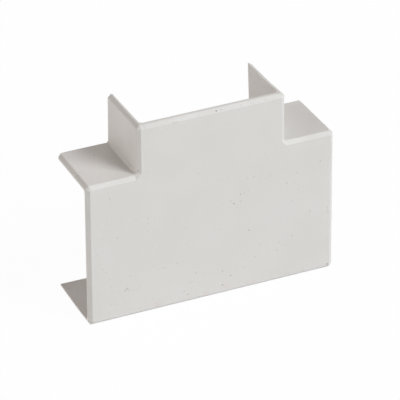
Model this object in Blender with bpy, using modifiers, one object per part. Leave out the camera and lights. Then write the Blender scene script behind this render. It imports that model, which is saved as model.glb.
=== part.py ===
"""Tee fitting for flat cable trunking, moulded in one piece of off-white PVC.

A T-shaped cover, open at its back, both ends of its run and the top of its branch. It slips
over the place where a branch of trunking leaves a run, and hides the cut edges.

X runs along the run, +Y is the open back, +Z runs up the branch. The fitting stands on the
long side wall of its run, centred on the origin. Sizes are in millimetres and become metres
where the meshes are made.
"""

import math

import bmesh
import bpy
from mathutils import Matrix, Vector

MILLIMETRE = 0.001

# The trunking that the fitting slips over, and the play it has there.
TRUNKING_WIDTH = 40.0
TRUNKING_DEPTH = 18.0
SLIP_CLEARANCE = 0.2
LID_CLEARANCE = 0.5

# The moulding: its walls thin out from the plate to the back rim, which is the core's draft.
PLATE = 1.5
WALL_AT_PLATE = 1.5
WALL_AT_RIM = 1.4
STUB_LENGTH = 15.0

# Its edges and corners. The chamfer at the run's two lower ends is steeper than the others.
FRONT_CHAMFER = 1.0
END_CHAMFER = 0.9
FOOT_CHAMFER_ALONG = 0.7
FOOT_CHAMFER_UP = 1.0
NOTCH_FILLET = 1.2
NOTCH_FILLET_STEPS = 4
ROOT_FILLET = 1.0
ROOT_FILLET_STEPS = 6
INNER_CORNER_RADIUS = 2.5
INNER_CORNER_STEPS = 6

# Marks that the mould leaves on the hidden side of the plate.
EJECTOR_DIAMETER = 4.0
EJECTOR_RECESS = 0.15
EJECTOR_INSET = 5.0
GATE_DIAMETER = 1.8
GATE_HEIGHT = 0.3
ROUND_SIDES = 32

# How far a cutter runs past the faces it cuts through.
CUT_MARGIN = 3.0

# Sizes that follow from the ones above.
ARM_WIDTH = TRUNKING_WIDTH + 2 * (SLIP_CLEARANCE + WALL_AT_PLATE)
DEPTH = TRUNKING_DEPTH + LID_CLEARANCE + PLATE
LENGTH = ARM_WIDTH + 2 * STUB_LENGTH
HEIGHT = ARM_WIDTH + STUB_LENGTH
FRONT_Y = -DEPTH / 2
BACK_Y = DEPTH / 2
PLATE_BACK_Y = FRONT_Y + PLATE

# Off-white PVC with a satin surface.
PVC_COLOUR = (0.68, 0.665, 0.635, 1.0)
PVC_ROUGHNESS = 0.42


def clear_scene():
    """Remove whatever the scene holds."""
    for scene_object in list(bpy.data.objects):
        bpy.data.objects.remove(scene_object, do_unlink=True)


def new_collection(name):
    """Add a collection to the scene."""
    collection = bpy.data.collections.new(name)
    bpy.context.scene.collection.children.link(collection)
    return collection


def pvc():
    """The one material of the moulding."""
    material = bpy.data.materials.new("off_white_pvc")
    material.use_nodes = True
    shader = material.node_tree.nodes["Principled BSDF"]
    shader.inputs["Base Color"].default_value = PVC_COLOUR
    shader.inputs["Roughness"].default_value = PVC_ROUGHNESS
    shader.inputs["Metallic"].default_value = 0.0
    return material


def at(x, y, z):
    """A point given in millimetres, in metres."""
    return Vector((x, y, z)) * MILLIMETRE


def cut_corner(corner, before, after, cut_before, cut_after):
    """The two points that take a corner's place once it is cut off, each at its own distance."""
    corner, before, after = Vector(corner), Vector(before), Vector(after)
    return [
        corner + (before - corner).normalized() * cut_before,
        corner + (after - corner).normalized() * cut_after,
    ]


def round_corner(corner, before, after, radius, steps):
    """The points of a square corner's arc, from the side of `before` to that of `after`."""
    corner, before, after = Vector(corner), Vector(before), Vector(after)
    to_before = (before - corner).normalized() * radius
    to_after = (after - corner).normalized() * radius
    centre = corner + to_before + to_after
    points = []
    for step in range(steps + 1):
        angle = math.pi / 2 * step / steps
        points.append(centre - to_after * math.cos(angle) - to_before * math.sin(angle))
    return points


def tee_corners(wall, overrun):
    """The eight corners of a T in X and Z, from the bottom left, turning anticlockwise.

    `wall` is how far the T lies inside the fitting's outline, and `overrun` how far its three
    ends run past the fitting's. Its corners 3 and 6 are the notches beside the branch, and its
    corners 0 and 1 the feet of the run's ends.
    """
    end_x = LENGTH / 2 + overrun
    branch_x = ARM_WIDTH / 2 - wall
    run_top = ARM_WIDTH - wall
    branch_top = HEIGHT + overrun
    return [
        (-end_x, wall), (end_x, wall), (end_x, run_top), (branch_x, run_top),
        (branch_x, branch_top), (-branch_x, branch_top), (-branch_x, run_top), (-end_x, run_top),
    ]


LEFT_FOOT, RIGHT_FOOT = 0, 1
NOTCH_CORNERS = (3, 6)


def outer_outline():
    """The fitting's outline, with chamfers at its ends and a fillet in both notches."""
    corners = tee_corners(wall=0.0, overrun=0.0)
    points = []
    for index, corner in enumerate(corners):
        before, after = corners[index - 1], corners[(index + 1) % len(corners)]
        if index in NOTCH_CORNERS:
            points += round_corner(corner, before, after, NOTCH_FILLET, NOTCH_FILLET_STEPS)
        elif index == LEFT_FOOT:
            points += cut_corner(corner, before, after, FOOT_CHAMFER_UP, FOOT_CHAMFER_ALONG)
        elif index == RIGHT_FOOT:
            points += cut_corner(corner, before, after, FOOT_CHAMFER_ALONG, FOOT_CHAMFER_UP)
        else:
            points += cut_corner(corner, before, after, END_CHAMFER, END_CHAMFER)
    return points


def core_outline(wall, radius):
    """The hollow's outline behind walls of one thickness, with round corners at the notches."""
    overrun = ROOT_FILLET + CUT_MARGIN
    corners = tee_corners(wall, overrun)
    points = []
    for index, corner in enumerate(corners):
        if index in NOTCH_CORNERS:
            before, after = corners[index - 1], corners[index + 1]
            points += round_corner(corner, before, after, radius, INNER_CORNER_STEPS)
        else:
            points.append(Vector(corner))
    return points


def merge_flat_faces(mesh):
    """Weld a mesh's loose caps and join its coplanar triangles into whole faces."""
    weld_distance = 1e-6
    flat_angle = math.radians(0.05)
    work = bmesh.new()
    work.from_mesh(mesh)
    bmesh.ops.remove_doubles(work, verts=work.verts, dist=weld_distance)
    bmesh.ops.dissolve_limit(work, angle_limit=flat_angle, verts=work.verts, edges=work.edges)
    bmesh.ops.recalc_face_normals(work, faces=work.faces)
    work.to_mesh(mesh)
    work.free()


def weight_edges_at(mesh, y):
    """Mark for a Bevel modifier every edge that lies in the plane of one Y."""
    tolerance = 1e-6
    weights = mesh.attributes.new("bevel_weight_edge", "FLOAT", "EDGE")
    for edge in mesh.edges:
        ends = [mesh.vertices[index].co.y for index in edge.vertices]
        if all(abs(end - y * MILLIMETRE) < tolerance for end in ends):
            weights.data[edge.index].value = 1.0


def bevel_weighted(target, width, segments):
    """Bevel a part's marked edges, to a chamfer with one segment and a fillet with more."""
    bevel = target.modifiers.new("edges", "BEVEL")
    bevel.limit_method = "WEIGHT"
    bevel.width = width * MILLIMETRE
    bevel.segments = segments
    bevel.use_clamp_overlap = False


def as_cutter(cutter):
    """Show an object as a wire guide that isn't part of the model."""
    cutter.hide_render = True
    cutter.display_type = "WIRE"


def outer_body(collection):
    """The solid T, with a chamfer round the whole of its front face."""
    curve = bpy.data.curves.new("tee_outline", "CURVE")
    curve.dimensions = "2D"
    curve.fill_mode = "BOTH"
    curve.extrude = DEPTH / 2 * MILLIMETRE
    points = outer_outline()
    spline = curve.splines.new("POLY")
    spline.points.add(len(points) - 1)
    for spline_point, (x, z) in zip(spline.points, points):
        spline_point.co = (x * MILLIMETRE, z * MILLIMETRE, 0.0, 1.0)
    spline.use_cyclic_u = True

    drawing = bpy.data.objects.new("tee_outline", curve)
    collection.objects.link(drawing)
    bpy.context.view_layer.update()
    seen = drawing.evaluated_get(bpy.context.evaluated_depsgraph_get())
    mesh = bpy.data.meshes.new_from_object(seen)
    bpy.data.objects.remove(drawing, do_unlink=True)

    # The outline was drawn in X and Y, and stands up in X and Z.
    mesh.transform(Matrix.Rotation(math.pi / 2, 4, "X"))
    merge_flat_faces(mesh)
    weight_edges_at(mesh, FRONT_Y)
    body = bpy.data.objects.new("tee_cover", mesh)
    collection.objects.link(body)
    bevel_weighted(body, FRONT_CHAMFER, segments=1)
    return body


def core(collection):
    """The T-shaped hollow, lofted so that the walls thin out towards the back rim.

    It runs on past the rim at the same draft, and past the three open ends. Its front edges
    are rounded, which leaves the fillet between the plate and the walls.
    """
    back_y = BACK_Y + CUT_MARGIN
    draft = (WALL_AT_PLATE - WALL_AT_RIM) / (BACK_Y - PLATE_BACK_Y)
    sections = []
    for y in (PLATE_BACK_Y, back_y):
        wall = WALL_AT_PLATE - draft * (y - PLATE_BACK_Y)
        sections.append([at(x, y, z) for x, z in core_outline(wall, INNER_CORNER_RADIUS)])

    work = bmesh.new()
    front, back = [[work.verts.new(point) for point in section] for section in sections]
    count = len(front)
    for index in range(count):
        after = (index + 1) % count
        work.faces.new((front[index], front[after], back[after], back[index]))
    work.faces.new(front)
    work.faces.new(reversed(back))
    bmesh.ops.recalc_face_normals(work, faces=work.faces)
    mesh = bpy.data.meshes.new("core")
    work.to_mesh(mesh)
    work.free()

    weight_edges_at(mesh, PLATE_BACK_Y)
    cutter = bpy.data.objects.new("core", mesh)
    collection.objects.link(cutter)
    bevel_weighted(cutter, ROOT_FILLET, ROOT_FILLET_STEPS)
    as_cutter(cutter)
    return cutter


def plate_disc(name, collection, x, z, diameter, from_y, to_y):
    """A short cylinder that stands on the plate, its axis along Y."""
    work = bmesh.new()
    placed = Matrix.Translation(at(x, (from_y + to_y) / 2, z)) @ Matrix.Rotation(math.pi / 2, 4, "X")
    bmesh.ops.create_cone(
        work, cap_ends=True, segments=ROUND_SIDES,
        radius1=diameter / 2 * MILLIMETRE, radius2=diameter / 2 * MILLIMETRE,
        depth=(to_y - from_y) * MILLIMETRE, matrix=placed,
    )
    mesh = bpy.data.meshes.new(name)
    work.to_mesh(mesh)
    work.free()
    disc = bpy.data.objects.new(name, mesh)
    collection.objects.link(disc)
    as_cutter(disc)
    return disc


def ejector_places():
    """X and Z of the pins that pushed the moulding off its core: a pair in each stub."""
    run_x = LENGTH / 2 - STUB_LENGTH / 2
    branch_z = HEIGHT - STUB_LENGTH / 2
    inset = WALL_AT_PLATE + EJECTOR_INSET
    places = [(side * run_x, z) for side in (-1, 1) for z in (inset, ARM_WIDTH - inset)]
    places += [(side * (ARM_WIDTH / 2 - inset), branch_z) for side in (-1, 1)]
    return places


def combine(target, tool, operation):
    """Cut or join a part with another solid."""
    boolean = target.modifiers.new(tool.name, "BOOLEAN")
    boolean.operation = operation
    boolean.object = tool


def build_tee():
    """Model the fitting: a solid T, less its core, with the mould's marks inside."""
    clear_scene()
    parts = new_collection("trunking_tee")
    guides = new_collection("cutters")

    tee = outer_body(parts)
    tee.data.materials.append(pvc())
    combine(tee, core(guides), "DIFFERENCE")
    for number, (x, z) in enumerate(ejector_places(), start=1):
        mark = plate_disc(
            f"ejector_mark_{number}", guides, x, z, EJECTOR_DIAMETER,
            from_y=PLATE_BACK_Y - EJECTOR_RECESS, to_y=PLATE_BACK_Y + CUT_MARGIN,
        )
        combine(tee, mark, "DIFFERENCE")
    gate = plate_disc(
        "gate", guides, 0.0, ARM_WIDTH / 2, GATE_DIAMETER,
        from_y=PLATE_BACK_Y - PLATE / 2, to_y=PLATE_BACK_Y + GATE_HEIGHT,
    )
    combine(tee, gate, "UNION")


build_tee()
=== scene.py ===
"""Looks of a tee fitting for flat cable trunking, moulded in one piece of off-white PVC.

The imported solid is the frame: it gives the moulding's box, and stays hidden under the dressed
moulding that is modelled here at the same sizes. X runs along the run of trunking, +Y is the
open back, and +Z runs up the branch. Every length is in metres.
"""

import logging
import math
from collections.abc import Callable, Iterator
from contextlib import contextmanager
from dataclasses import dataclass
from enum import Enum
from typing import ClassVar

import bpy
import numpy as np
from mathutils import Matrix, Vector

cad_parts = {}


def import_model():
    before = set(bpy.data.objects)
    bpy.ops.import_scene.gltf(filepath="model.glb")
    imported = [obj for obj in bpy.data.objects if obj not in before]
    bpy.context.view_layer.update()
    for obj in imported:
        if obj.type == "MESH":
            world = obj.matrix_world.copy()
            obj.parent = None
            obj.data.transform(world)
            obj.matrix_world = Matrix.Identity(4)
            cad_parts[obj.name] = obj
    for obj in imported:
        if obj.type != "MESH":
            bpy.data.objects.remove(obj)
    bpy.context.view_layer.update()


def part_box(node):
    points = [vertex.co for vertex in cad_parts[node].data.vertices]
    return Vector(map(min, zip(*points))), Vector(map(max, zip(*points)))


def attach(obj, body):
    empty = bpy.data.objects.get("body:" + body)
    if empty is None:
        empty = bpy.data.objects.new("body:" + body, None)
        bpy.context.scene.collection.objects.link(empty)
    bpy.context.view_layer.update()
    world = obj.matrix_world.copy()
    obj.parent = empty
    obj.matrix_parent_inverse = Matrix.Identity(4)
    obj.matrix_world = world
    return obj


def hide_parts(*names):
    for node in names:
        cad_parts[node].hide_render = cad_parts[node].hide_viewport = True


MM = 0.001
# Two places nearer than this count as one.
SNAP = 0.01 * MM
LOG = logging.getLogger("trunking_tee")
Colour = tuple[float, float, float, float]
Triple = tuple[float, float, float]
Signal = bpy.types.NodeSocket | float | tuple[float, ...]
Test = Callable[[list[Vector]], bool]


class Side(Enum):
    """The two sides of the branch, as the sign of X."""

    LEFT = -1
    RIGHT = 1


class Element(Enum):
    """What a selection is made of."""

    VERTEX = "VERT"
    EDGE = "EDGE"
    FACE = "FACE"


def ease(value: np.ndarray | float, start: float, end: float) -> np.ndarray | float:
    """Rise smoothly from 0 at one value to 1 at another.

    Args:
        value: Where to read the rise.
        start: The value at which it is still 0.
        end: The value at which it has reached 1. It may lie below start.

    Returns:
        The height of the rise, from 0 to 1.
    """
    share = np.clip((value - start) / (end - start), 0.0, 1.0)
    return share * share * (3.0 - 2.0 * share)


def direction(azimuth: float, elevation: float) -> Vector:
    """Turn two angles into a direction.

    Args:
        azimuth: Degrees from straight in front of the fitting, positive to the right.
        elevation: Degrees above the horizon.

    Returns:
        The unit vector that points there.
    """
    turn, lift = math.radians(azimuth), math.radians(elevation)
    level = math.cos(lift)
    return Vector((math.sin(turn) * level, -math.cos(turn) * level, math.sin(lift)))


def hang(name: str, data: bpy.types.Light | bpy.types.Camera) -> bpy.types.Object:
    """Put a light or a camera in the scene.

    Args:
        name: The new object's name.
        data: The light or the camera.

    Returns:
        The object that holds it.
    """
    holder = bpy.data.objects.new(name, data)
    bpy.context.scene.collection.objects.link(holder)
    return holder


class Bench:
    """Modelling by operators: one object at a time, picked and shaped in edit mode."""

    DISC_SIDES = 48

    @staticmethod
    def take(piece: bpy.types.Object) -> None:
        """Select one object alone and make it active.

        Args:
            piece: The object to work on.
        """
        bpy.ops.object.select_all(action="DESELECT")
        piece.select_set(True)
        bpy.context.view_layer.objects.active = piece

    @staticmethod
    def add_box(name: str, low: Vector, high: Vector) -> bpy.types.Object:
        """Add a cube primitive stretched between two corners.

        Args:
            name: The new object's name.
            low: The box's lowest corner.
            high: The box's highest corner.

        Returns:
            The box, with its place and size in its mesh.
        """
        bpy.ops.object.select_all(action="DESELECT")
        bpy.ops.mesh.primitive_cube_add(size=1.0, location=(low + high) / 2, scale=high - low)
        return Bench.settle(name)

    @staticmethod
    def add_disc(name: str, centre: Vector, diameter: float, thickness: float) -> bpy.types.Object:
        """Add a short cylinder whose axis runs along Y.

        Args:
            name: The new object's name.
            centre: The cylinder's middle.
            diameter: Its diameter.
            thickness: Its length along Y.

        Returns:
            The cylinder, with its place and size in its mesh.
        """
        bpy.ops.object.select_all(action="DESELECT")
        bpy.ops.mesh.primitive_cylinder_add(
            vertices=Bench.DISC_SIDES, radius=diameter / 2, depth=thickness,
            location=centre, rotation=(math.pi / 2, 0.0, 0.0),
        )
        return Bench.settle(name)

    @staticmethod
    def settle(name: str) -> bpy.types.Object:
        """Name the primitive that was added last, and put its place and size in its mesh.

        Args:
            name: Its name.

        Returns:
            The primitive's object, at the origin.
        """
        added = bpy.context.active_object
        added.name = name
        bpy.ops.object.transform_apply(location=True, rotation=True, scale=True)
        return added

    @staticmethod
    @contextmanager
    def editing(piece: bpy.types.Object, element: Element) -> Iterator[None]:
        """Open an object in edit mode for a while.

        Args:
            piece: The object to edit.
            element: What its selection is made of.

        Yields:
            Nothing: the operators inside the block act on the selection.
        """
        Bench.take(piece)
        bpy.ops.object.mode_set(mode="EDIT")
        bpy.ops.mesh.select_mode(type=element.value)
        yield
        bpy.ops.object.mode_set(mode="OBJECT")

    @staticmethod
    def pick(piece: bpy.types.Object, element: Element, wanted: Test) -> None:
        """Select some of a mesh's elements by the places of their corners, and nothing else.

        Args:
            piece: The object whose mesh is searched.
            element: Whether vertices, edges or faces are picked.
            wanted: Says of an element's corner points whether it is picked.
        """
        with Bench.editing(piece, element):
            bpy.ops.mesh.select_all(action="DESELECT")
        mesh = piece.data
        places = [vertex.co for vertex in mesh.vertices]
        if element is Element.VERTEX:
            items = [(vertex, [vertex.co]) for vertex in mesh.vertices]
        else:
            source = mesh.edges if element is Element.EDGE else mesh.polygons
            items = [(item, [places[index] for index in item.vertices]) for item in source]
        for item, corners in items:
            if wanted(corners):
                item.select = True

    @staticmethod
    def bevel(piece: bpy.types.Object, wanted: Test, width: float, segments: int = 1) -> None:
        """Bevel some of a mesh's edges.

        Args:
            piece: The object to bevel.
            wanted: Says of an edge's two ends whether it is bevelled.
            width: How far from the edge the bevel starts on each face.
            segments: 1 for a chamfer, and more for a round.
        """
        Bench.pick(piece, Element.EDGE, wanted)
        with Bench.editing(piece, Element.EDGE):
            bpy.ops.mesh.bevel(
                offset_type="OFFSET", offset=width, segments=segments, profile=0.5,
                affect="EDGES", clamp_overlap=False,
            )

    @staticmethod
    def shift(piece: bpy.types.Object, wanted: Test, by: Triple) -> None:
        """Move some of a mesh's vertices.

        Args:
            piece: The object whose vertices move.
            wanted: Says of a vertex, as a list of its one point, whether it moves.
            by: How far it moves along X, Y and Z.
        """
        Bench.pick(piece, Element.VERTEX, wanted)
        with Bench.editing(piece, Element.VERTEX):
            bpy.ops.transform.translate(value=by)

    @staticmethod
    def slice(piece: bpy.types.Object, at: Vector, across: Vector) -> None:
        """Cut new edges into a whole mesh where a plane passes through it.

        Args:
            piece: The object to cut.
            at: A point of the plane.
            across: The plane's normal.
        """
        with Bench.editing(piece, Element.FACE):
            bpy.ops.mesh.select_all(action="SELECT")
            bpy.ops.mesh.bisect(plane_co=at, plane_no=across)

    @staticmethod
    def dissolve(piece: bpy.types.Object, degrees: float) -> None:
        """Join the faces that lie in one plane.

        Args:
            piece: The object whose faces are joined.
            degrees: The angle up to which neighbours count as one plane.
        """
        with Bench.editing(piece, Element.FACE):
            bpy.ops.mesh.select_all(action="SELECT")
            bpy.ops.mesh.dissolve_limited(angle_limit=math.radians(degrees))

    @staticmethod
    def combine(piece: bpy.types.Object, tool: bpy.types.Object, operation: str) -> None:
        """Cut or join a piece with a tool, which is used up.

        Args:
            piece: The object that stays.
            tool: The object that is cut out of it or joined to it.
            operation: DIFFERENCE or UNION.
        """
        boolean = piece.modifiers.new("combine", "BOOLEAN")
        boolean.operation = operation
        boolean.object = tool
        Bench.take(piece)
        bpy.ops.object.modifier_apply(modifier=boolean.name)
        bpy.data.objects.remove(tool, do_unlink=True)


@dataclass(frozen=True)
class TeeSpan:
    """The reach of a T-shaped block: a run along X with a branch standing on its middle.

    Attributes:
        half_length: Half the run's length.
        front: The Y of its front.
        back: The Y of its back.
        bottom: The Z of the run's underside.
        run_top: The Z of the run's top.
        half_branch: Half the branch's width.
        branch_top: The Z of the branch's top.
    """

    half_length: float
    front: float
    back: float
    bottom: float
    run_top: float
    half_branch: float
    branch_top: float

    def block(self, name: str) -> bpy.types.Object:
        """Model the block: a box cut across twice, its middle drawn up into the branch.

        Args:
            name: The new object's name.

        Returns:
            The block, of eight-cornered front and back.
        """
        low = Vector((-self.half_length, self.front, self.bottom))
        high = Vector((self.half_length, self.back, self.run_top))
        block = Bench.add_box(name, low, high)
        for side in Side:
            at = Vector((side.value * self.half_branch, 0.0, 0.0))
            Bench.slice(block, at, Vector((1.0, 0.0, 0.0)))
        reach = self.half_branch + SNAP
        Bench.pick(
            block, Element.FACE,
            lambda corners: all(
                abs(corner.z - self.run_top) < SNAP and abs(corner.x) < reach for corner in corners
            ),
        )
        rise = self.branch_top - self.run_top
        with Bench.editing(block, Element.FACE):
            bpy.ops.mesh.extrude_region_move(TRANSFORM_OT_translate={"value": (0.0, 0.0, rise)})
        return block


def along_y(corners: list[Vector], x: float, z: float) -> bool:
    """Say whether an edge runs along Y at one X and Z.

    Args:
        corners: The edge's two ends.
        x: The X at which the edge has to lie, on either side of the middle.
        z: The Z at which it has to lie.

    Returns:
        True if both of its ends lie there.
    """
    one_side = abs(corners[0].x - corners[-1].x) < SNAP
    return one_side and all(
        abs(abs(end.x) - x) < SNAP and abs(end.z - z) < SNAP for end in corners
    )


def on_plane(axis: int, level: float) -> Test:
    """Make the test for what lies in one plane across an axis.

    Args:
        axis: 0, 1 or 2 for X, Y or Z.
        level: The coordinate of the plane.

    Returns:
        A test that is true if all of an element's corners lie in the plane.
    """
    return lambda corners: all(abs(corner[axis] - level) < SNAP for corner in corners)


@dataclass(frozen=True)
class Warp:
    """How the cooled moulding strays from the straight solid, as the photo shows it.

    The leans are those at the walls' back rims, and fade away towards the front.

    Attributes:
        floor_left: Rise of the run's lower wall at its left end.
        floor_right: Rise of the run's lower wall at its right end.
        ledge_left: Rise of the left ledge at its open end.
        ledge_left_root: Rise of the left ledge where it meets the branch.
        ledge_right: Rise of the right ledge.
        run_right_end: Shift along X of the run's right end.
        branch_left_root: Shift along X of the left branch wall where it meets the ledge.
        branch_left_top: The same at the branch's open top.
        branch_right_root: Shift along X of the right branch wall where it meets the ledge.
        branch_right_top: The same at the branch's open top.
        branch_right_front: Shift along X of the branch's right edge at the front.
        front_fade: The shares of the depth between which that shift sets in.
        floor_bend: How late the lower wall's lean sets in: 1 for a straight wall.
        thick_top: How much thicker the plate is at the branch's open top.
        corner_length: How far along the wall the left ledge's rounded rim corner reaches.
        corner_depth: How far forward the rim falls back at that corner.
        corner_fade: How far in front of the rim that fall ends.
    """

    floor_left: float = 1.18 * MM
    floor_right: float = 0.43 * MM
    ledge_left: float = 0.40 * MM
    ledge_left_root: float = 0.30 * MM
    ledge_right: float = -0.20 * MM
    run_right_end: float = -0.15 * MM
    branch_left_root: float = -0.05 * MM
    branch_left_top: float = 0.05 * MM
    branch_right_root: float = 0.15 * MM
    branch_right_top: float = -0.28 * MM
    branch_right_front: float = 0.30 * MM
    front_fade: tuple[float, float] = (0.45, 0.05)
    floor_bend: float = 1.7
    thick_top: float = 0.45 * MM
    corner_length: float = 3.5 * MM
    corner_depth: float = 0.7 * MM
    corner_fade: float = 6.0 * MM


@dataclass
class TeeCover:
    """The one-piece moulding: a T-shaped plate with side walls, open behind and at three ends.

    Attributes:
        low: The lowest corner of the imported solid's box.
        high: Its highest corner.
        stub_length: How far the run reaches past the branch on either side.
        plate: The front plate's thickness.
        wall_at_plate: The side walls' thickness where they leave the plate.
        wall_at_rim: Their thickness at the back rim.
        front_chamfer: The chamfer round the whole front.
        end_chamfer: The cut corners of the ledges and of the branch's walls.
        foot_chamfer_along: The cut corners of the run's underside, measured along the run.
        foot_chamfer_up: The same, measured up the ends.
        notch_chamfer: The slanted facets where the ledges meet the branch.
        notch_spread: How much further they reach at the front.
        root_fillet: The inner fillet between the plate and the walls.
        inner_corner_radius: The inner round beside each notch.
        round_segments: How many flat strips make an inner round.
        ejector_diameter: The width of the ejector pins' marks.
        ejector_recess: How deep they are.
        ejector_inset: How far they lie from the walls.
        gate_diameter: The width of the gate's stub.
        gate_height: How far it stands off the plate.
        cut_margin: How far a block that cuts runs past the surface.
        edge_softness: How far the edges are rounded.
        mark_softness: The same for the ejector marks and the gate.
        sharp_angle: Degrees across an edge from which on it is rounded.
        block_flatness: Degrees up to which the blocks' faces count as one plane.
        hollow_flatness: The same for the hollow moulding: less than the walls' draft.
        shading_angle: Degrees across an edge from which on the shading breaks there.
        lattice_step: The width of the lattice that lets the walls lean.
        warp: How they lean.
    """

    low: Vector
    high: Vector
    stub_length: float = 15.0 * MM
    plate: float = 1.5 * MM
    wall_at_plate: float = 1.5 * MM
    wall_at_rim: float = 1.4 * MM
    front_chamfer: float = 1.0 * MM
    end_chamfer: float = 0.9 * MM
    foot_chamfer_along: float = 0.7 * MM
    foot_chamfer_up: float = 1.0 * MM
    notch_chamfer: float = 0.5 * MM
    notch_spread: float = 0.42 * MM
    root_fillet: float = 1.0 * MM
    inner_corner_radius: float = 2.5 * MM
    round_segments: int = 10
    ejector_diameter: float = 4.0 * MM
    ejector_recess: float = 0.15 * MM
    ejector_inset: float = 5.0 * MM
    gate_diameter: float = 1.8 * MM
    gate_height: float = 0.3 * MM
    cut_margin: float = 3.0 * MM
    edge_softness: float = 0.08 * MM
    mark_softness: float = 0.04 * MM
    sharp_angle: float = 30.0
    block_flatness: float = 0.5
    hollow_flatness: float = 0.2
    shading_angle: float = 40.0
    lattice_step: float = 2.0 * MM
    warp: Warp = Warp()

    @property
    def half_length(self) -> float:
        """Half of the fitting's length."""
        return (self.high.x - self.low.x) / 2

    @property
    def arm_width(self) -> float:
        """Width of the run, and of the branch."""
        return self.high.x - self.low.x - 2 * self.stub_length

    @property
    def plate_back(self) -> float:
        """The Y of the plate's inner face."""
        return self.low.y + self.plate

    def body(self) -> bpy.types.Object:
        """Model the solid T with its chamfers.

        Returns:
            The block, with cut corners and notches and a chamfer round its front.
        """
        half_branch = self.arm_width / 2
        span = TeeSpan(
            self.half_length, self.low.y, self.high.y, self.low.z, self.low.z + self.arm_width,
            half_branch, self.high.z,
        )
        block = span.block("tee_cover_moulding")
        chamfers = [
            ([(half_branch, span.run_top)], self.notch_chamfer),
            ([(span.half_length, span.run_top), (half_branch, span.branch_top)], self.end_chamfer),
            ([(span.half_length, span.bottom)], self.foot_chamfer_along),
        ]
        for places, width in chamfers:
            Bench.bevel(
                block,
                lambda ends, places=places: any(along_y(ends, x, z) for x, z in places),
                width,
            )
        edge_z = span.bottom + self.foot_chamfer_along
        rest = self.foot_chamfer_up - self.foot_chamfer_along
        Bench.shift(block, lambda ends: along_y(ends, span.half_length, edge_z), (0.0, 0.0, rest))
        Bench.dissolve(block, self.block_flatness)
        Bench.bevel(block, on_plane(1, self.low.y), self.front_chamfer)
        self.spread_notches(block, half_branch, span.run_top)
        return block

    def spread_notches(self, block: bpy.types.Object, half_branch: float, run_top: float) -> None:
        """Widen the slanted facet in each notch towards the front, along both its neighbours.

        Args:
            block: The block, with its front chamfered.
            half_branch: Half the branch's width.
            run_top: The Z of the run's top.
        """
        inset = self.front_chamfer
        facet_turn = math.radians(45.0)
        start = self.notch_chamfer - inset * math.tan(facet_turn / 2)
        for side in Side:
            ends = (
                (half_branch + start, run_top - inset, (side.value * self.notch_spread, 0.0, 0.0)),
                (half_branch - inset, run_top + start, (0.0, 0.0, self.notch_spread)),
            )
            for x, z, by in ends:
                at = Vector((side.value * x, self.low.y, z))
                Bench.shift(block, lambda corners, at=at: (corners[0] - at).length < SNAP, by)

    def core(self) -> bpy.types.Object:
        """Model the hollow: a T that widens towards the back by the walls' draft.

        Returns:
            The block to cut out, which runs past the back and the three open ends.
        """
        margin = self.root_fillet + self.cut_margin
        half_branch = self.arm_width / 2 - self.wall_at_plate
        span = TeeSpan(
            self.half_length + margin, self.plate_back, self.high.y + margin,
            self.low.z + self.wall_at_plate, self.low.z + self.arm_width - self.wall_at_plate,
            half_branch, self.high.z + margin,
        )
        block = span.block("core")
        slope = (self.wall_at_plate - self.wall_at_rim) / (self.high.y - self.plate_back)
        spread = slope * (span.back - span.front)
        moves = (
            (on_plane(2, span.bottom), (0.0, 0.0, -spread)),
            (on_plane(2, span.run_top), (0.0, 0.0, spread)),
            (on_plane(0, -half_branch), (-spread, 0.0, 0.0)),
            (on_plane(0, half_branch), (spread, 0.0, 0.0)),
        )
        at_back = on_plane(1, span.back)
        for on_wall, by in moves:
            Bench.shift(
                block, lambda ends, on_wall=on_wall: at_back(ends) and on_wall(ends), by
            )

        def beside_notch(corners: list[Vector]) -> bool:
            """Tell the two edges where a ledge's inner face meets the branch's."""
            return (
                abs(corners[0].y - corners[1].y) > margin
                and all(abs(abs(end.x) - half_branch) < spread + SNAP for end in corners)
                and all(abs(end.z - span.run_top) < spread + SNAP for end in corners)
            )

        Bench.bevel(block, beside_notch, self.inner_corner_radius, self.round_segments)
        Bench.dissolve(block, self.block_flatness)
        Bench.bevel(block, on_plane(1, self.plate_back), self.root_fillet, self.round_segments)
        return block

    def ejector_places(self) -> list[tuple[float, float]]:
        """Find where the mould's pins pushed on the plate.

        Returns:
            X and Z of each pin: a pair in each of the three stubs.
        """
        run_x = self.half_length - self.stub_length / 2
        inset = self.wall_at_plate + self.ejector_inset
        levels = (self.low.z + inset, self.low.z + self.arm_width - inset)
        places = [(side.value * run_x, z) for side in Side for z in levels]
        branch_z = self.high.z - self.stub_length / 2
        places += [(side.value * (self.arm_width / 2 - inset), branch_z) for side in Side]
        return places

    def mark_inside(self, cover: bpy.types.Object) -> None:
        """Cut the ejector pins' shallow rounds, and add the gate's stub.

        Args:
            cover: The hollow moulding.
        """
        reach = self.cut_margin
        for x, z in self.ejector_places():
            y = self.plate_back - self.ejector_recess + reach / 2
            pin = Bench.add_disc("ejector_pin", Vector((x, y, z)), self.ejector_diameter, reach)
            Bench.combine(cover, pin, "DIFFERENCE")
        thickness = self.gate_height + self.plate / 2
        y = self.plate_back + self.gate_height - thickness / 2
        middle = Vector((0.0, y, self.low.z + self.arm_width / 2))
        gate = Bench.add_disc("gate", middle, self.gate_diameter, thickness)
        Bench.combine(cover, gate, "UNION")

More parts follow.
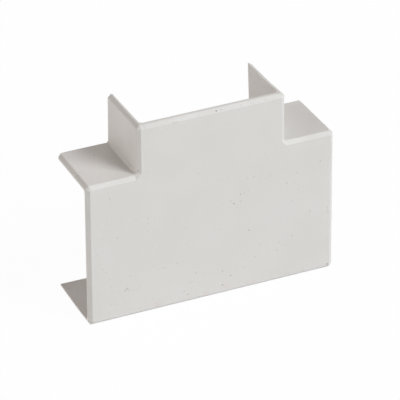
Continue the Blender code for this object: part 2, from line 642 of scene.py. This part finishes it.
    def soften(self, cover: bpy.types.Object) -> None:
        """Round every edge a little, and those of the inner marks less.

        Args:
            cover: The hollow moulding.
        """
        Bench.dissolve(cover, self.hollow_flatness)
        mesh = cover.data
        weights = mesh.attributes.new("bevel_weight_edge", "FLOAT", "EDGE")
        for edge, angle in self.edge_angles(mesh):
            if angle < math.radians(self.sharp_angle):
                continue
            on_mark = all(self.at_mark(mesh.vertices[index].co) for index in edge.vertices)
            softness = self.mark_softness if on_mark else self.edge_softness
            weights.data[edge.index].value = softness / self.edge_softness
        bevel = cover.modifiers.new("softness", "BEVEL")
        bevel.limit_method = "WEIGHT"
        bevel.width = self.edge_softness
        bevel.segments = 3
        bevel.use_clamp_overlap = False
        Bench.take(cover)
        bpy.ops.object.modifier_apply(modifier=bevel.name)

    def at_mark(self, point: Vector) -> bool:
        """Say whether a point is part of an ejector mark or the gate.

        Args:
            point: The point to test.

        Returns:
            True if it lies at the plate's inner face, away from the open ends.
        """
        return (
            abs(point.y - self.plate_back) < self.gate_height + SNAP
            and abs(point.x) < self.half_length - self.front_chamfer
            and point.z < self.high.z - self.front_chamfer
        )

    @staticmethod
    def edge_angles(mesh: bpy.types.Mesh) -> Iterator[tuple[bpy.types.MeshEdge, float]]:
        """Measure the angle across each edge that two faces share.

        Args:
            mesh: The mesh to measure.

        Yields:
            Each edge, and the angle between its faces' normals.
        """
        normals: dict[tuple[int, int], list[Vector]] = {}
        for polygon in mesh.polygons:
            for key in polygon.edge_keys:
                normals.setdefault(key, []).append(polygon.normal)
        for edge in mesh.edges:
            beside = normals.get(edge.key, [])
            if len(beside) == 2:
                yield edge, beside[0].angle(beside[1], 0.0)

    def slice_up(self, cover: bpy.types.Object) -> None:
        """Cut the faces into a lattice, so that the walls can lean smoothly.

        Args:
            cover: The hollow moulding.
        """
        for axis in range(3):
            start, end = self.low[axis], self.high[axis]
            count = math.ceil((end - start) / self.lattice_step)
            across = Vector()
            across[axis] = 1.0
            for number in range(1, count):
                at = Vector()
                at[axis] = start + (end - start) * number / count
                Bench.slice(cover, at, across)

    def lean_walls(self, cover: bpy.types.Object) -> None:
        """Move the points as the cooling pulled the walls, more the nearer they are to the rim.

        Args:
            cover: The hollow moulding, cut into a lattice.
        """
        mesh = cover.data
        flat = np.empty(len(mesh.vertices) * 3)
        mesh.vertices.foreach_get("co", flat)
        points = flat.reshape(-1, 3)
        x, y, z = points.T.copy()
        depth = self.high.y - self.low.y
        share = (y - self.low.y) / depth
        middle = self.low.z + self.arm_width / 2
        run_top = self.low.z + self.arm_width
        half_branch = self.arm_width / 2
        to_right = (x + self.half_length) / (2 * self.half_length)
        along = np.abs(x)
        left = x < 0.0

        warp = self.warp
        floor = warp.floor_left + (warp.floor_right - warp.floor_left) * to_right
        floor *= ease(z, middle, self.low.z + self.root_fillet)
        up_run = ease(z, middle, run_top - self.root_fillet)
        down_branch = 1.0 - ease(z, run_top, self.high.z)
        to_end = np.clip((along - half_branch) / self.stub_length, 0.0, 1.0)
        left_rise = warp.ledge_left_root + (warp.ledge_left - warp.ledge_left_root) * to_end
        ledge = np.where(left, left_rise, warp.ledge_right)
        ledge *= up_run * down_branch * ease(along, 0.0, half_branch)
        root = np.where(left, warp.branch_left_root, warp.branch_right_root)
        top = np.where(left, warp.branch_left_top, warp.branch_right_top)
        up_branch = np.clip((z - run_top) / self.stub_length, 0.0, 1.0)
        aside = (root * (1.0 - up_branch) + top * up_branch) * up_run
        to_tip = ease(along, half_branch, self.half_length)
        aside *= ease(along, 0.0, half_branch)
        aside *= 1.0 - to_tip
        aside += np.where(left, 0.0, warp.run_right_end) * to_tip
        wider = warp.branch_right_front * ease(x, 0.0, half_branch) * ease(share, *warp.front_fade)
        wider *= ease(z, run_top - self.notch_chamfer, run_top)
        wider *= 1.0 - ease(x, half_branch + self.notch_chamfer, self.half_length)

        thicker = warp.thick_top * ease(z, run_top, self.high.z)
        thicker *= ease(y, self.low.y + self.front_chamfer, self.plate_back)
        thicker *= 1.0 - ease(y, self.plate_back + self.root_fillet, self.high.y)
        fallen = self.corner_fall(self.half_length + x) * up_run
        fallen *= ease(y, self.high.y - warp.corner_fade, self.high.y)

        points[:, 0] = x + aside * share + wider
        points[:, 1] = y + thicker - fallen
        points[:, 2] = z + floor * share**warp.floor_bend + ledge * share
        mesh.vertices.foreach_set("co", points.ravel())
        mesh.update()

    def corner_fall(self, from_end: np.ndarray) -> np.ndarray:
        """Find how far forward the rim falls back near an open end, along a quarter ellipse.

        Args:
            from_end: Each point's distance from the open end.

        Returns:
            How far each point at the rim moves towards the front.
        """
        share = np.clip(1.0 - from_end / self.warp.corner_length, 0.0, 1.0)
        return self.warp.corner_depth * (1.0 - np.sqrt(1.0 - share * share))

    def build(self, material: bpy.types.Material) -> bpy.types.Object:
        """Model the moulding and dress it.

        Args:
            material: Its finish.

        Returns:
            The finished piece, riding on the fitting's body in place of the plain solid.
        """
        cover = self.body()
        Bench.combine(cover, self.core(), "DIFFERENCE")
        self.mark_inside(cover)
        self.soften(cover)
        self.slice_up(cover)
        self.lean_walls(cover)
        Bench.take(cover)
        bpy.ops.object.shade_smooth_by_angle(angle=math.radians(self.shading_angle))
        normals = cover.modifiers.new("flat_faces", "WEIGHTED_NORMAL")
        normals.keep_sharp = True
        bpy.ops.object.modifier_apply(modifier=normals.name)
        cover.data.materials.clear()
        cover.data.materials.append(material)
        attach(cover, "root")
        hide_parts("tee_cover")
        return cover


class Graph:
    """A material's nodes, added and wired by short calls."""

    NUMBER_RESULTS = ("DISTANCE", "DOT_PRODUCT")
    MIX_FIRST = 6
    MIX_SECOND = 7
    MIX_RESULT = 2

    def __init__(self, tree: bpy.types.NodeTree) -> None:
        """Take up a node tree.

        Args:
            tree: The tree that the nodes go into.
        """
        self.nodes = tree.nodes
        self.links = tree.links

    def feed(self, socket: bpy.types.NodeSocket, value: Signal) -> None:
        """Give an input its value, or link it to another node's output.

        Args:
            socket: The input.
            value: A number, a vector, a colour or an output.
        """
        if isinstance(value, bpy.types.NodeSocket):
            self.links.new(value, socket)
        else:
            socket.default_value = value

    def add(self, kind: str, inputs: dict[str | int, Signal], **settings: str) -> bpy.types.Node:
        """Add a node.

        Args:
            kind: The node's type.
            inputs: What goes into its inputs, by name or number.
            settings: Its other settings.

        Returns:
            The node.
        """
        node = self.nodes.new(kind)
        for name, value in settings.items():
            setattr(node, name, value)
        for name, value in inputs.items():
            self.feed(node.inputs[name], value)
        return node

    def math(self, operation: str, first: Signal, second: Signal = 0.0) -> bpy.types.NodeSocket:
        """Reckon with two numbers.

        Args:
            operation: What is done with them.
            first: The first number.
            second: The second number.

        Returns:
            The result.
        """
        return self.add("ShaderNodeMath", {0: first, 1: second}, operation=operation).outputs[0]

    def vector(self, operation: str, first: Signal, second: Signal) -> bpy.types.NodeSocket:
        """Reckon with two vectors.

        Args:
            operation: What is done with them.
            first: The first vector.
            second: The second vector.

        Returns:
            The result: a number for a distance or a dot product, and otherwise a vector.
        """
        node = self.add("ShaderNodeVectorMath", {0: first, 1: second}, operation=operation)
        return node.outputs["Value" if operation in self.NUMBER_RESULTS else "Vector"]

    def scale(self, vector: Signal, by: Signal) -> bpy.types.NodeSocket:
        """Multiply a vector by a number.

        Args:
            vector: The vector.
            by: The number.

        Returns:
            The scaled vector.
        """
        inputs = {0: vector, "Scale": by}
        return self.add("ShaderNodeVectorMath", inputs, operation="SCALE").outputs["Vector"]

    def product(self, *factors: Signal) -> bpy.types.NodeSocket:
        """Multiply two or more numbers.

        Args:
            factors: The numbers.

        Returns:
            Their product.
        """
        total = factors[0]
        for factor in factors[1:]:
            total = self.math("MULTIPLY", total, factor)
        return total

    def rise(
        self, value: Signal, start: float, end: float, low: float = 0.0, high: float = 1.0
    ) -> bpy.types.NodeSocket:
        """Pass smoothly from one level to another as a number grows.

        Args:
            value: The number.
            start: Where the result is still at the low level.
            end: Where it has reached the high level. It may lie below start.
            low: The low level.
            high: The high level.

        Returns:
            The level.
        """
        if start > end:
            start, end, low, high = end, start, high, low
        inputs = {"Value": value, "From Min": start, "From Max": end, "To Min": low, "To Max": high}
        return self.add("ShaderNodeMapRange", inputs, interpolation_type="SMOOTHSTEP").outputs[0]

    def noise(self, place: Signal, size: float, detail: float = 2.0) -> bpy.types.NodeSocket:
        """Spread a cloudy noise through space.

        Args:
            place: The point at which it is read.
            size: How large its clouds are.
            detail: How many finer layers it has.

        Returns:
            The noise, about 0.5 on average.
        """
        inputs = {"Vector": place, "Scale": 1.0 / size, "Detail": detail}
        return self.add("ShaderNodeTexNoise", inputs).outputs["Fac"]

    def blend(self, share: Signal, first: Signal, second: Signal) -> bpy.types.NodeSocket:
        """Mix two colours.

        Args:
            share: How much of the second there is.
            first: The first colour.
            second: The second colour.

        Returns:
            The mixed colour.
        """
        node = self.add("ShaderNodeMix", {"Factor": share}, data_type="RGBA")
        self.feed(node.inputs[self.MIX_FIRST], first)
        self.feed(node.inputs[self.MIX_SECOND], second)
        return node.outputs[self.MIX_RESULT]


@dataclass(frozen=True)
class Spot:
    """A round mark: a dark grain moulded into the skin, or a soft stain on it.

    Attributes:
        x: Where it lies along the run, in millimetres from the middle.
        z: Its height, in millimetres.
        size: Its radius in millimetres.
        depth: How strongly it shows, from 0 to 1.
        behind: How far behind the front face it lies, in millimetres.
        core: The share of its radius up to which it shows fully.
    """

    x: float
    z: float
    size: float
    depth: float
    behind: float = 0.0
    core: ClassVar[float] = 0.3

    def mask(self, graph: Graph, place: Signal) -> bpy.types.NodeSocket:
        """Paint the mark.

        Args:
            graph: The material's nodes.
            place: The point at which it is read, in millimetres.

        Returns:
            How strongly the mark shows there.
        """
        distance = graph.vector("DISTANCE", place, (self.x, self.behind, self.z))
        return graph.rise(distance, self.size, self.size * self.core, 0.0, self.depth)


@dataclass(frozen=True)
class Scratch:
    """A thin straight mark between two points, in millimetres.

    Attributes:
        start: X, depth behind the front face and height of one end.
        end: The same for the other end.
        width: How far it reaches to either side.
        depth: How strongly it shows, from 0 to 1.
        core: The share of its width up to which it shows fully.
    """

    start: Triple
    end: Triple
    width: float
    depth: float
    core: ClassVar[float] = 0.2

    def mask(self, graph: Graph, place: Signal) -> bpy.types.NodeSocket:
        """Paint the mark.

        Args:
            graph: The material's nodes.
            place: The point at which it is read, in millimetres.

        Returns:
            How strongly the mark shows there.
        """
        along = Vector(self.end) - Vector(self.start)
        from_start = graph.vector("SUBTRACT", place, self.start)
        share = graph.vector("DOT_PRODUCT", from_start, tuple(along / along.length_squared))
        share = graph.math("MINIMUM", graph.math("MAXIMUM", share, 0.0), 1.0)
        distance = graph.vector("DISTANCE", from_start, graph.scale(tuple(along), share))
        return graph.rise(distance, self.width, self.width * self.core, 0.0, self.depth)


Mark = Spot | Scratch


@dataclass(frozen=True)
class Dust:
    """Fine dark grains strewn through the skin in patches, fainter up the branch.

    Attributes:
        cell: The size of the cells that may hold a grain each, in millimetres.
        size: A grain's radius, in millimetres.
        core: The share of that radius up to which a grain shows fully.
        bare: The share of the cells that stay empty.
        bare_edge: The share of the cells whose grain is partly faded.
        faintest: How strongly the faintest grain shows, from 0 to 1.
        strongest: How strongly the strongest grain shows.
        patch: The size of the patches, in millimetres.
        patch_edge: The levels of the noise between which a patch fades in.
        between: How much of their strength the grains keep between the patches.
        thin_above: The height above which they are fainter, in millimetres.
        full_below: The height below which they have their full strength.
        above: How much of it they keep above.
    """

    cell: float = 1.1
    size: float = 0.22
    core: float = 0.3
    bare: float = 0.55
    bare_edge: float = 0.05
    faintest: float = 0.06
    strongest: float = 0.32
    patch: float = 11.0
    patch_edge: tuple[float, float] = (0.38, 0.62)
    between: float = 0.3
    thin_above: float = 46.0
    full_below: float = 30.0
    above: float = 0.4

    def mask(self, graph: Graph, place: Signal) -> bpy.types.NodeSocket:
        """Paint the grains.

        Args:
            graph: The material's nodes.
            place: The point at which they are read, in millimetres.

        Returns:
            How strongly they show there.
        """
        cells = graph.add("ShaderNodeTexVoronoi", {"Vector": place, "Scale": 1.0 / self.cell})
        chance = graph.add("ShaderNodeSeparateColor", {"Color": cells.outputs["Color"]}).outputs
        reach = self.size / self.cell
        dot = graph.rise(cells.outputs["Distance"], reach, reach * self.core)
        chosen = graph.rise(chance["Red"], self.bare, self.bare + self.bare_edge)
        strength = graph.rise(chance["Green"], 0.0, 1.0, self.faintest, self.strongest)
        patches = graph.rise(graph.noise(place, self.patch), *self.patch_edge, self.between, 1.0)
        height = graph.add("ShaderNodeSeparateXYZ", {"Vector": place}).outputs["Z"]
        lower = graph.rise(height, self.thin_above, self.full_below, self.above, 1.0)
        return graph.product(dot, chosen, strength, patches, lower)


@dataclass(frozen=True)
class SatinPvc:
    """Warm off-white PVC with a satin skin, dark grains in it and faint stains on it.

    Attributes:
        foot: The middle of the front face's lower edge, from which the marks are measured.
        colour: The plastic's own colour.
        grain_and_shade_colour: The colour of its dark grains and of dirt, and of the painted shade.
        stain_colour: The colour of its faint stains.
        cloud_tone: What the plastic's red, green and blue are multiplied by in its clouds.
        fine_tone: The same in its fine mottling.
        roughness: How dull the skin is, where it is glossiest and where it is dullest.
        dirt_roughness: How much duller the dark marks are.
        dirt_pit: How deep the dark marks lie, as a multiple of the relief.
        relief: The height of the skin's fine relief, in metres.
        cloud_size: The size of the clouds, in millimetres.
        fine_size: The size of the fine mottling and of the relief, in millimetres.
        wear_size: The size of the gaps in the stains, in millimetres.
        dust: Fine grains strewn all over.
        grains: Dark grains that stand out.
        scuffs: Short dark scuffs and faint lines.
        stains: Pinkish lines and spots.
        painted_shade_and_spots: Painted shade in the crease beside the left notch and on
        the slanted cut ends of the ledges and of the branch's walls, and spots on the branch's
        inner right wall.
    """

    foot: Vector
    colour: Colour = (0.68, 0.668, 0.646, 1.0)
    grain_and_shade_colour: Colour = (0.20, 0.16, 0.12, 1.0)
    stain_colour: Colour = (0.66, 0.49, 0.47, 1.0)
    cloud_tone: Triple = (0.965, 0.965, 0.955)
    fine_tone: Triple = (0.95, 0.95, 0.95)
    roughness: tuple[float, float] = (0.50, 0.59)
    dirt_roughness: float = 0.2
    dirt_pit: float = 2.0
    relief: float = 0.004 * MM
    cloud_size: float = 14.0
    fine_size: float = 0.5
    wear_size: float = 1.2
    dust: Dust = Dust()
    grains: tuple[Spot, ...] = (
        Spot(3.0, 3.0, 0.28, 0.75),
        Spot(5.5, 5.5, 0.26, 0.70),
        Spot(3.0, 7.5, 0.26, 0.65),
        Spot(11.0, 18.5, 0.26, 0.65),
        Spot(6.5, 28.0, 0.28, 0.75),
        Spot(5.5, 29.0, 0.22, 0.55),
        Spot(8.5, 30.5, 0.24, 0.60),
        Spot(11.0, 31.0, 0.22, 0.30),
        Spot(8.5, 28.0, 0.20, 0.25),
        Spot(7.5, 26.5, 0.22, 0.28),
        Spot(12.5, 35.0, 0.24, 0.38),
        Spot(10.5, 35.0, 0.24, 0.28),
        Spot(14.0, 33.0, 0.22, 0.30),
        Spot(4.5, 36.5, 0.22, 0.32),
        Spot(0.5, 39.0, 0.22, 0.32),
        Spot(-4.0, 40.0, 0.22, 0.35),
        Spot(16.0, 41.5, 0.22, 0.28),
        Spot(17.5, 34.0, 0.24, 0.38),
        Spot(25.5, 33.0, 0.24, 0.38),
        Spot(29.5, 36.0, 0.20, 0.25),
        Spot(32.5, 35.0, 0.24, 0.60),
        Spot(35.5, 35.5, 0.20, 0.40),
        Spot(22.5, 30.5, 0.24, 0.55),
        Spot(19.5, 27.0, 0.20, 0.28),
        Spot(24.0, 24.5, 0.20, 0.28),
        Spot(29.5, 20.0, 0.24, 0.50),
        Spot(35.0, 18.5, 0.24, 0.50),
        Spot(24.0, 13.5, 0.24, 0.60),
        Spot(14.5, 13.0, 0.24, 0.32),
        Spot(16.5, 11.5, 0.22, 0.28),
        Spot(13.0, 9.5, 0.22, 0.42),
        Spot(9.5, 7.0, 0.24, 0.38),
        Spot(35.0, 1.5, 0.45, 0.45),
        Spot(-8.5, 4.0, 0.24, 0.50),
        Spot(-5.0, 9.0, 0.24, 0.55),
        Spot(-10.5, 13.5, 0.24, 0.42),
        Spot(-12.5, 14.0, 0.20, 0.28),
        Spot(-14.5, 13.0, 0.24, 0.55),
        Spot(-18.0, 4.0, 0.22, 0.28),
        Spot(-24.5, 13.0, 0.22, 0.40),
        Spot(-22.5, 30.0, 0.22, 0.25),
        Spot(-28.0, 26.0, 0.24, 0.48),
        Spot(-31.0, 31.0, 0.22, 0.40),
        Spot(-30.0, 38.5, 0.24, 0.42),
        Spot(-32.5, 17.0, 0.22, 0.38),
        Spot(-31.5, 16.0, 0.24, 0.38),
        Spot(1.5, 57.8, 0.32, 0.85, 0.4),
        Spot(3.0, 57.8, 0.28, 0.42, 0.4),
        Spot(-4.0, 57.7, 0.30, 0.22, 0.3),
        Spot(-21.4, 44.7, 0.32, 0.60, 0.7),
        Spot(-28.0, 43.6, 0.32, 0.60, 15.0),
        Spot(-35.0, 43.5, 0.32, 0.42, 8.5),
    )
    scuffs: tuple[Scratch, ...] = (
        Scratch((-26.2, 0.0, 8.6), (-25.4, 0.0, 9.4), 0.26, 0.32),
        Scratch((-25.4, 0.0, 9.4), (-25.1, 0.0, 8.7), 0.24, 0.28),
        Scratch((-7.2, 0.0, 6.1), (-5.8, 0.0, 6.5), 0.28, 0.13),
        Scratch((-7.7, 0.0, 2.7), (-7.1, 0.0, 2.9), 0.24, 0.30),
        Scratch((-19.5, 0.8, 58.2), (-19.5, 0.2, 57.6), 0.28, 0.14),
        Scratch((-11.5, 0.0, 57.4), (-10.0, 0.0, 57.4), 0.24, 0.22),
        Scratch((8.6, 0.6, 58.0), (9.0, 0.1, 57.5), 0.30, 0.12),
        Scratch((11.6, 0.6, 58.0), (12.4, 0.2, 57.6), 0.34, 0.10),
        Scratch((15.8, 0.4, 57.8), (16.6, 0.1, 57.5), 0.34, 0.10),
        Scratch((-21.7, 12.2, 48.9), (-21.7, 10.4, 48.2), 0.35, 0.10),
        Scratch((-31.5, 3.8, 43.5), (-30.8, 5.2, 43.5), 0.40, 0.06),
        Scratch((-37.0, 9.7, 1.8), (-33.0, 9.7, 1.8), 0.30, 0.10),
    )
    stains: tuple[Mark, ...] = (
        Scratch((-24.8, 0.0, 8.4), (-22.7, 0.0, 8.0), 0.32, 0.30),
        Scratch((-22.7, 0.0, 8.0), (-22.0, 0.0, 9.0), 0.32, 0.32),
        Scratch((-22.0, 0.0, 9.0), (-21.2, 0.0, 8.8), 0.26, 0.22),
        Spot(-16.5, 2.3, 1.8, 0.22),
        Spot(-2.0, 1.5, 1.8, 0.20),
        Spot(4.0, 2.5, 1.8, 0.18),
        Spot(12.0, 1.5, 1.5, 0.20),
        Scratch((20.0, 0.0, 12.3), (20.8, 0.0, 11.3), 0.32, 0.45),
        Scratch((20.8, 0.0, 11.3), (22.6, 0.0, 10.7), 0.32, 0.35),
    )
    painted_shade_and_spots: tuple[Mark, ...] = (
        # Painted shade: darker in the crease beside the left notch, on the ledge and at the foot of
        # the wall.
        Scratch((-21.8, 4.0, 43.8), (-21.8, 19.0, 43.8), 3.2, 0.07),
        Scratch((-22.0, 2.0, 43.6), (-22.0, 19.0, 43.6), 0.9, 0.16),
        # Painted shade: darker on the slanted cut ends of both ledges and of both branch walls.
        Scratch((-36.2, 1.2, 43.0), (-36.2, 20.0, 43.3), 0.9, 0.18),
        Scratch((36.2, 1.2, 43.0), (36.1, 20.0, 42.8), 0.9, 0.18),
        Scratch((-21.2, 1.2, 58.0), (-21.2, 20.0, 58.0), 0.9, 0.18),
        Scratch((21.4, 1.2, 58.0), (21.0, 20.0, 58.0), 0.9, 0.18),
        Spot(20.3, 56.7, 0.7, 0.10, 13.7),
        Spot(20.3, 57.2, 0.7, 0.10, 11.8),
        Spot(20.3, 56.3, 0.8, 0.12, 9.8),
        Spot(20.3, 56.9, 0.7, 0.10, 7.4),
        Spot(20.3, 57.7, 0.7, 0.10, 5.2),
    )

    def material(self) -> bpy.types.Material:
        """Make the material.

        Returns:
            The finish as a Blender material.
        """
        material = bpy.data.materials.new("off_white_pvc")
        material.use_nodes = True
        graph = Graph(material.node_tree)
        coordinates = graph.add("ShaderNodeTexCoord", {}).outputs["Object"]
        from_foot = graph.vector("SUBTRACT", coordinates, tuple(self.foot))
        place = graph.scale(from_foot, 1.0 / MM)
        clouds = graph.noise(place, self.cloud_size, 3.0)
        fine = graph.noise(place, self.fine_size)
        dirt = graph.math(
            "MAXIMUM", self.dust.mask(graph, place),
            self.gather(graph, place, self.grains + self.scuffs),
        )

        shader = graph.nodes["Principled BSDF"]
        graph.feed(shader.inputs["Base Color"], self.paint(graph, place, clouds, fine, dirt))
        skin = graph.rise(clouds, 0.3, 0.7, *self.roughness)
        duller = graph.product(dirt, self.dirt_roughness)
        graph.feed(shader.inputs["Roughness"], graph.math("ADD", skin, duller))
        height = graph.math("SUBTRACT", fine, graph.product(dirt, self.dirt_pit))
        inputs = {"Strength": 1.0, "Distance": self.relief, "Height": height}
        graph.feed(shader.inputs["Normal"], graph.add("ShaderNodeBump", inputs).outputs["Normal"])
        return material

    def paint(
        self, graph: Graph, place: Signal, clouds: Signal, fine: Signal, dirt: Signal
    ) -> bpy.types.NodeSocket:
        """Colour the plastic: slightly cloudy, with its stains, its dirt and its painted shade.

        Args:
            graph: The material's nodes.
            place: The point at which it is read, in millimetres.
            clouds: Wide noise.
            fine: Fine noise.
            dirt: How strongly the dark marks show.

        Returns:
            The colour.
        """
        cloudy, mottled = self.toned(self.cloud_tone), self.toned(self.fine_tone)
        colour = graph.blend(graph.rise(clouds, 0.25, 0.75), self.colour, cloudy)
        colour = graph.blend(graph.rise(fine, 0.35, 0.75, 0.0, 0.6), colour, mottled)
        worn = graph.rise(graph.noise(place, self.wear_size, 3.0), 0.35, 0.65, 0.4, 1.0)
        stained = graph.product(self.gather(graph, place, self.stains), worn)
        colour = graph.blend(stained, colour, self.stain_colour)
        # Painted shade in the crease and on the slanted cut ends joins the dark marks, in the
        # grains' colour.
        dirt_and_shade = graph.math("MAXIMUM", dirt, self.gather(graph, place, self.painted_shade_and_spots))
        return graph.blend(dirt_and_shade, colour, self.grain_and_shade_colour)

    def toned(self, tone: Triple) -> Colour:
        """Multiply the plastic's red, green and blue by those of a tone."""
        red, green, blue, alpha = self.colour
        return (red * tone[0], green * tone[1], blue * tone[2], alpha)

    @staticmethod
    def gather(graph: Graph, place: Signal, marks: tuple[Mark, ...]) -> bpy.types.NodeSocket:
        """Paint several marks, the strongest of which shows.

        Args:
            graph: The material's nodes.
            place: The point at which they are read, in millimetres.
            marks: The marks.

        Returns:
            How strongly they show there.
        """
        total = marks[0].mask(graph, place)
        for mark in marks[1:]:
            total = graph.math("MAXIMUM", total, mark.mask(graph, place))
        return total


@dataclass(frozen=True)
class SoftBox:
    """A soft light that faces the fitting.

    Attributes:
        name: What the light is called.
        azimuth: Where it stands, in degrees: 0 is in front, and 90 to the right.
        elevation: How high it stands, in degrees.
        width: Its width.
        height: Its height.
        power: Its power in watts.
        colour: The colour of its light.
    """

    name: str
    azimuth: float
    elevation: float
    width: float
    height: float
    power: float
    colour: Triple

    def place(self, aim: Vector, distance: float) -> bpy.types.Object:
        """Put the light in the scene.

        Args:
            aim: The point that it faces.
            distance: How far from that point it stands.

        Returns:
            The light's object.
        """
        towards = direction(self.azimuth, self.elevation)
        lamp = bpy.data.lights.new(self.name, "AREA")
        lamp.shape = "RECTANGLE"
        lamp.size = self.width
        lamp.size_y = self.height
        lamp.energy = self.power
        lamp.color = self.colour
        holder = hang(self.name, lamp)
        holder.location = aim + towards * distance
        holder.rotation_mode = "QUATERNION"
        holder.rotation_quaternion = towards.to_track_quat("Z", "Y")
        holder.visible_camera = False
        return holder


@dataclass(frozen=True)
class Studio:
    """The plain white studio: floor, surroundings and soft lights.

    Attributes:
        aim: The point that the lights face.
        light_distance: How far from it they stand.
        floor_radius: The round floor's radius.
        floor_sides: How many sides its outline has.
        floor_colour: The floor's own colour, on which the fitting's shadow falls.
        floor_glow: The share of the floor that is plain white as it is seen.
        white: The colour of the background as it is seen, and of the world's light.
        world_strength: How bright the world is as a light.
        soft_boxes: The lights.
    """

    aim: Vector
    light_distance: float = 3.0
    floor_radius: float = 3.0
    floor_sides: int = 64
    floor_colour: Colour = (0.92, 0.92, 0.92, 1.0)
    floor_glow: float = 0.97
    white: Colour = (1.0, 1.0, 1.0, 1.0)
    world_strength: float = 0.06
    soft_boxes: tuple[SoftBox, ...] = (
        SoftBox("key_right", 34.0, 37.0, 1.3, 1.2, 75.6, (0.965, 0.985, 1.0)),
        SoftBox("fill_left", -80.0, 19.0, 2.0, 2.0, 22.0, (0.99, 0.93, 0.94)),
        SoftBox("fill_behind_left", -115.0, 22.0, 2.0, 2.0, 20.3, (1.0, 0.93, 0.83)),
        SoftBox("back", 170.0, 44.0, 2.0, 2.0, 15.4, (1.0, 0.86, 0.83)),
        SoftBox("edge_right", 80.0, 15.0, 2.0, 2.0, 11.0, (1.0, 0.94, 0.92)),
    )

    def floor(self) -> bpy.types.Object:
        """Lay the floor: white to the camera, with the fitting's shadow faintly on it.

        Returns:
            The floor's object.
        """
        bpy.ops.object.select_all(action="DESELECT")
        bpy.ops.mesh.primitive_circle_add(
            vertices=self.floor_sides, radius=self.floor_radius, fill_type="NGON",
            location=(0.0, 0.0, 0.0),
        )
        floor = Bench.settle("studio_floor")
        material = bpy.data.materials.new("studio_white")
        material.use_nodes = True
        graph = self.cleared(material.node_tree)
        paint = graph.add("ShaderNodeBsdfDiffuse", {"Color": self.floor_colour})
        glow = graph.add("ShaderNodeEmission", {"Color": self.white})
        seen = graph.product(self.seen(graph), self.floor_glow)
        self.connect(graph, "ShaderNodeOutputMaterial", seen, paint, glow)
        floor.data.materials.append(material)
        return floor

    def surroundings(self) -> None:
        """Fill the world: white to the camera, and a soft even light to everything else."""
        world = bpy.data.worlds.new("studio")
        bpy.context.scene.world = world
        world.use_nodes = True
        graph = self.cleared(world.node_tree)
        light = graph.add(
            "ShaderNodeBackground", {"Color": self.white, "Strength": self.world_strength}
        )
        backdrop = graph.add("ShaderNodeBackground", {"Color": self.white})
        self.connect(graph, "ShaderNodeOutputWorld", self.seen(graph), light, backdrop)

    @staticmethod
    def cleared(tree: bpy.types.NodeTree) -> Graph:
        """Take all nodes out of a tree, and take it up to be filled anew."""
        tree.nodes.clear()
        return Graph(tree)

    @staticmethod
    def seen(graph: Graph) -> bpy.types.NodeSocket:
        """Tell the rays that see the white background from those that carry light.

        Args:
            graph: The nodes of the floor or the world.

        Returns:
            1 for the camera's view, and for what it sees in gloss and through glass.
        """
        path = graph.add("ShaderNodeLightPath", {}).outputs
        mirrored = graph.math("MAXIMUM", path["Is Glossy Ray"], path["Is Transmission Ray"])
        return graph.math("MAXIMUM", path["Is Camera Ray"], mirrored)

    @staticmethod
    def connect(
        graph: Graph, output: str, seen: Signal, light: bpy.types.Node, shown: bpy.types.Node
    ) -> None:
        """Mix the two shaders of the floor or the world, and link them to its output.

        Args:
            graph: The nodes.
            output: The type of the output node.
            seen: The share of the shader that is seen.
            light: The shader for the rays that carry light.
            shown: The shader that is seen.
        """
        inputs = {"Fac": seen, 1: light.outputs[0], 2: shown.outputs[0]}
        mix = graph.add("ShaderNodeMixShader", inputs)
        graph.add(output, {"Surface": mix.outputs[0]})

    def build(self) -> None:
        """Lay the floor, fill the world and place the lights."""
        self.floor()
        self.surroundings()
        for soft_box in self.soft_boxes:
            soft_box.place(self.aim, self.light_distance)
        bpy.context.scene.view_settings.view_transform = "Standard"


@dataclass(frozen=True)
class PhotoCamera:
    """The photo's long lens, above the fitting and to its left.

    Attributes:
        azimuth: Degrees from straight in front, negative to the left.
        elevation: Degrees above the horizon.
        roll: Degrees by which the camera leans to its side.
        distance: From the fitting's front face to the lens.
        aside: How far the view's middle lies along the picture's right, from the foot of the front.
        above: How far it lies along the picture's up, from the same point.
        lens: Focal length in millimetres.
        sensor: The width of the sensor that it belongs to, in millimetres.
        nearest: The distance in front of the lens from which on things are seen.
        farthest: The distance up to which they are.
    """

    azimuth: float = -24.46
    elevation: float = 30.41
    roll: float = -0.32
    distance: float = 1.1362
    aside: float = -3.42 * MM
    above: float = 26.53 * MM
    lens: float = 372.9
    sensor: float = 36.0
    nearest: float = 0.05
    farthest: float = 20.0

    def build(self, foot: Vector) -> bpy.types.Object:
        """Put the camera in the scene.

        Args:
            foot: The middle of the front face's lower edge.

        Returns:
            The camera's object.
        """
        back = direction(self.azimuth, self.elevation)
        turn = math.radians(self.azimuth)
        right = Vector((math.cos(turn), math.sin(turn), 0.0))
        right = Matrix.Rotation(math.radians(self.roll), 3, back) @ right
        up = back.cross(right)
        place = foot + right * self.aside + up * self.above + back * self.distance
        data = bpy.data.cameras.new("photo_camera")
        data.sensor_width = self.sensor
        data.lens = self.lens
        data.clip_start = self.nearest
        data.clip_end = self.farthest
        camera = hang(data.name, data)
        axes = Matrix((right, up, back)).transposed().to_4x4()
        camera.matrix_world = Matrix.Translation(place) @ axes
        bpy.context.scene.camera = camera
        return camera


def main() -> None:
    """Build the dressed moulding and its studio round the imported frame."""
    logging.basicConfig(level=logging.INFO, format="%(name)s: %(message)s")
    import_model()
    low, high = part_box("tee_cover")

    foot = Vector(((low.x + high.x) / 2, low.y, low.z))
    PhotoCamera().build(foot)
    Studio(aim=(low + high) / 2).build()
    cover = TeeCover(low, high).build(SatinPvc(foot).material())
    LOG.info("%s: %d faces", cover.name, len(cover.data.polygons))


if __name__ == "__main__":
    main()
